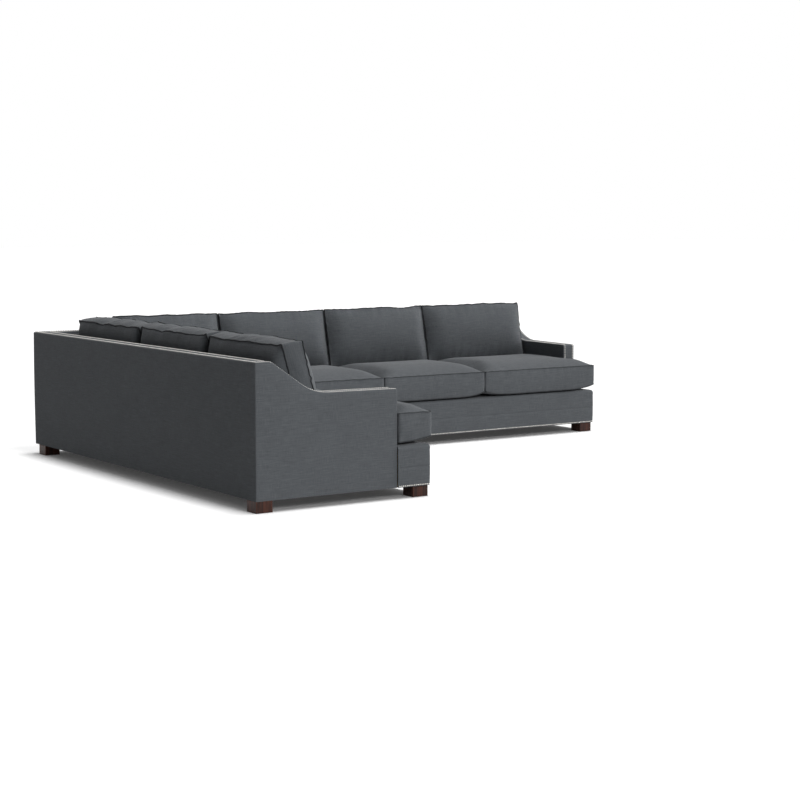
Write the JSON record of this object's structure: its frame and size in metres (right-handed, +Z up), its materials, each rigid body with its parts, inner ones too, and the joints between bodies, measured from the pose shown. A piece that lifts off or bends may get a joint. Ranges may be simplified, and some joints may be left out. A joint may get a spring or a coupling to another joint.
{
  "type": "sectional sofa",
  "caption": "L-shaped sectional sofa with sloping track arms, loose seat and back cushions, nailhead trim and block feet.",
  "frame": {"origin": "middle of the overall box, on the floor", "axes": "+X along the long wing from the outer corner to its arm, +Y towards that wing's outside back, +Z up"},
  "size_m": [3.727, 2.865, 0.8698],
  "materials": {
    "charcoal_cloth": "matte",
    "deck_cloth": "matte",
    "lining": "matte",
    "webbing": "matte",
    "frame_timber": "satin",
    "plywood": "satin",
    "foot_wood": "satin",
    "spring_steel": "satin"
  },
  "bodies": {
    "left_unit": {"left_front_rails": "frame_timber", "left_rear_rails": "frame_timber", "left_stretchers": "frame_timber", "left_foot_blocks": "frame_timber", "left_back_posts": "frame_timber", "left_top_rails": "frame_timber", "left_arm_boards": "plywood", "left_arm_spacers": "frame_timber", "left_seat_springs": "spring_steel", "left_spring_clips": "spring_steel", "left_back_webbing": "webbing", "left_deck": "deck_cloth", "corner_deck": "deck_cloth", "left_inside_back": "deck_cloth", "corner_inside_back": "deck_cloth", "left_back_cover": "charcoal_cloth", "corner_back_cover": "charcoal_cloth", "left_arm_cover": "charcoal_cloth", "left_front_border": "charcoal_cloth", "left_joint_panel": "lining", "left_dust_cover": "lining", "left_feet": "foot_wood", "left_hanger_bolts": "spring_steel", "connector_sockets": "spring_steel"},
    "right_unit": {"right_front_rails": "frame_timber", "right_rear_rails": "frame_timber", "right_stretchers": "frame_timber", "right_foot_blocks": "frame_timber", "right_back_posts": "frame_timber", "right_top_rail": "frame_timber", "right_arm_boards": "plywood", "right_arm_spacers": "frame_timber", "right_seat_springs": "spring_steel", "right_spring_clips": "spring_steel", "right_back_webbing": "webbing", "right_deck": "deck_cloth", "right_inside_back": "deck_cloth", "right_back_cover": "charcoal_cloth", "right_arm_cover": "charcoal_cloth", "right_front_border": "charcoal_cloth", "right_joint_panel": "lining", "right_dust_cover": "lining", "right_feet": "foot_wood", "right_hanger_bolts": "spring_steel", "connector_tongues": "spring_steel"},
    "left_end_seat_cushion": {"left_end_seat": "charcoal_cloth"},
    "left_inner_seat_cushion": {"left_inner_seat": "charcoal_cloth"},
    "corner_seat_cushion": {"corner_seat": "charcoal_cloth"},
    "right_inner_seat_cushion": {"right_inner_seat": "charcoal_cloth"},
    "right_middle_seat_cushion": {"right_middle_seat": "charcoal_cloth"},
    "right_end_seat_cushion": {"right_end_seat": "charcoal_cloth"},
    "left_end_back_cushion": {"left_end_back": "charcoal_cloth"},
    "left_inner_back_cushion": {"left_inner_back": "charcoal_cloth"},
    "corner_left_back_cushion": {"corner_left_back": "charcoal_cloth"},
    "corner_right_back_cushion": {"corner_right_back": "charcoal_cloth"},
    "right_inner_back_cushion": {"right_inner_back": "charcoal_cloth"},
    "right_middle_back_cushion": {"right_middle_back": "charcoal_cloth"},
    "right_end_back_cushion": {"right_end_back": "charcoal_cloth"}
  },
  "joints": [
    {"name": "right_unit_slide", "type": "slide", "parent": "left_unit", "child": "right_unit", "axis": [1, 0, 0], "range_m": [0, 0.3]},
    {"name": "left_end_seat_lift", "type": "slide", "parent": "left_unit", "child": "left_end_seat_cushion", "axis": [0, 0, 1], "range_m": [0, 0.45]},
    {"name": "left_end_back_lift", "type": "slide", "parent": "left_end_seat_cushion", "child": "left_end_back_cushion", "axis": [0, 0, 1], "range_m": [0, 0.42]},
    {"name": "left_inner_seat_lift", "type": "slide", "parent": "left_unit", "child": "left_inner_seat_cushion", "axis": [0, 0, 1], "range_m": [0, 0.45]},
    {"name": "left_inner_back_lift", "type": "slide", "parent": "left_inner_seat_cushion", "child": "left_inner_back_cushion", "axis": [0, 0, 1], "range_m": [0, 0.42]},
    {"name": "right_inner_seat_lift", "type": "slide", "parent": "right_unit", "child": "right_inner_seat_cushion", "axis": [0, 0, 1], "range_m": [0, 0.45]},
    {"name": "right_inner_back_lift", "type": "slide", "parent": "right_inner_seat_cushion", "child": "right_inner_back_cushion", "axis": [0, 0, 1], "range_m": [0, 0.42]},
    {"name": "right_middle_seat_lift", "type": "slide", "parent": "right_unit", "child": "right_middle_seat_cushion", "axis": [0, 0, 1], "range_m": [0, 0.45]},
    {"name": "right_middle_back_lift", "type": "slide", "parent": "right_middle_seat_cushion", "child": "right_middle_back_cushion", "axis": [0, 0, 1], "range_m": [0, 0.42]},
    {"name": "right_end_seat_lift", "type": "slide", "parent": "right_unit", "child": "right_end_seat_cushion", "axis": [0, 0, 1], "range_m": [0, 0.45]},
    {"name": "right_end_back_lift", "type": "slide", "parent": "right_end_seat_cushion", "child": "right_end_back_cushion", "axis": [0, 0, 1], "range_m": [0, 0.42]},
    {"name": "corner_seat_lift", "type": "slide", "parent": "left_unit", "child": "corner_seat_cushion", "axis": [0, 0, 1], "range_m": [0, 0.45]},
    {"name": "corner_left_back_lift", "type": "slide", "parent": "corner_seat_cushion", "child": "corner_left_back_cushion", "axis": [0, 0, 1], "range_m": [0, 0.42]},
    {"name": "corner_right_back_lift", "type": "slide", "parent": "corner_seat_cushion", "child": "corner_right_back_cushion", "axis": [0, 0, 1], "range_m": [0, 0.42]}
  ]
}
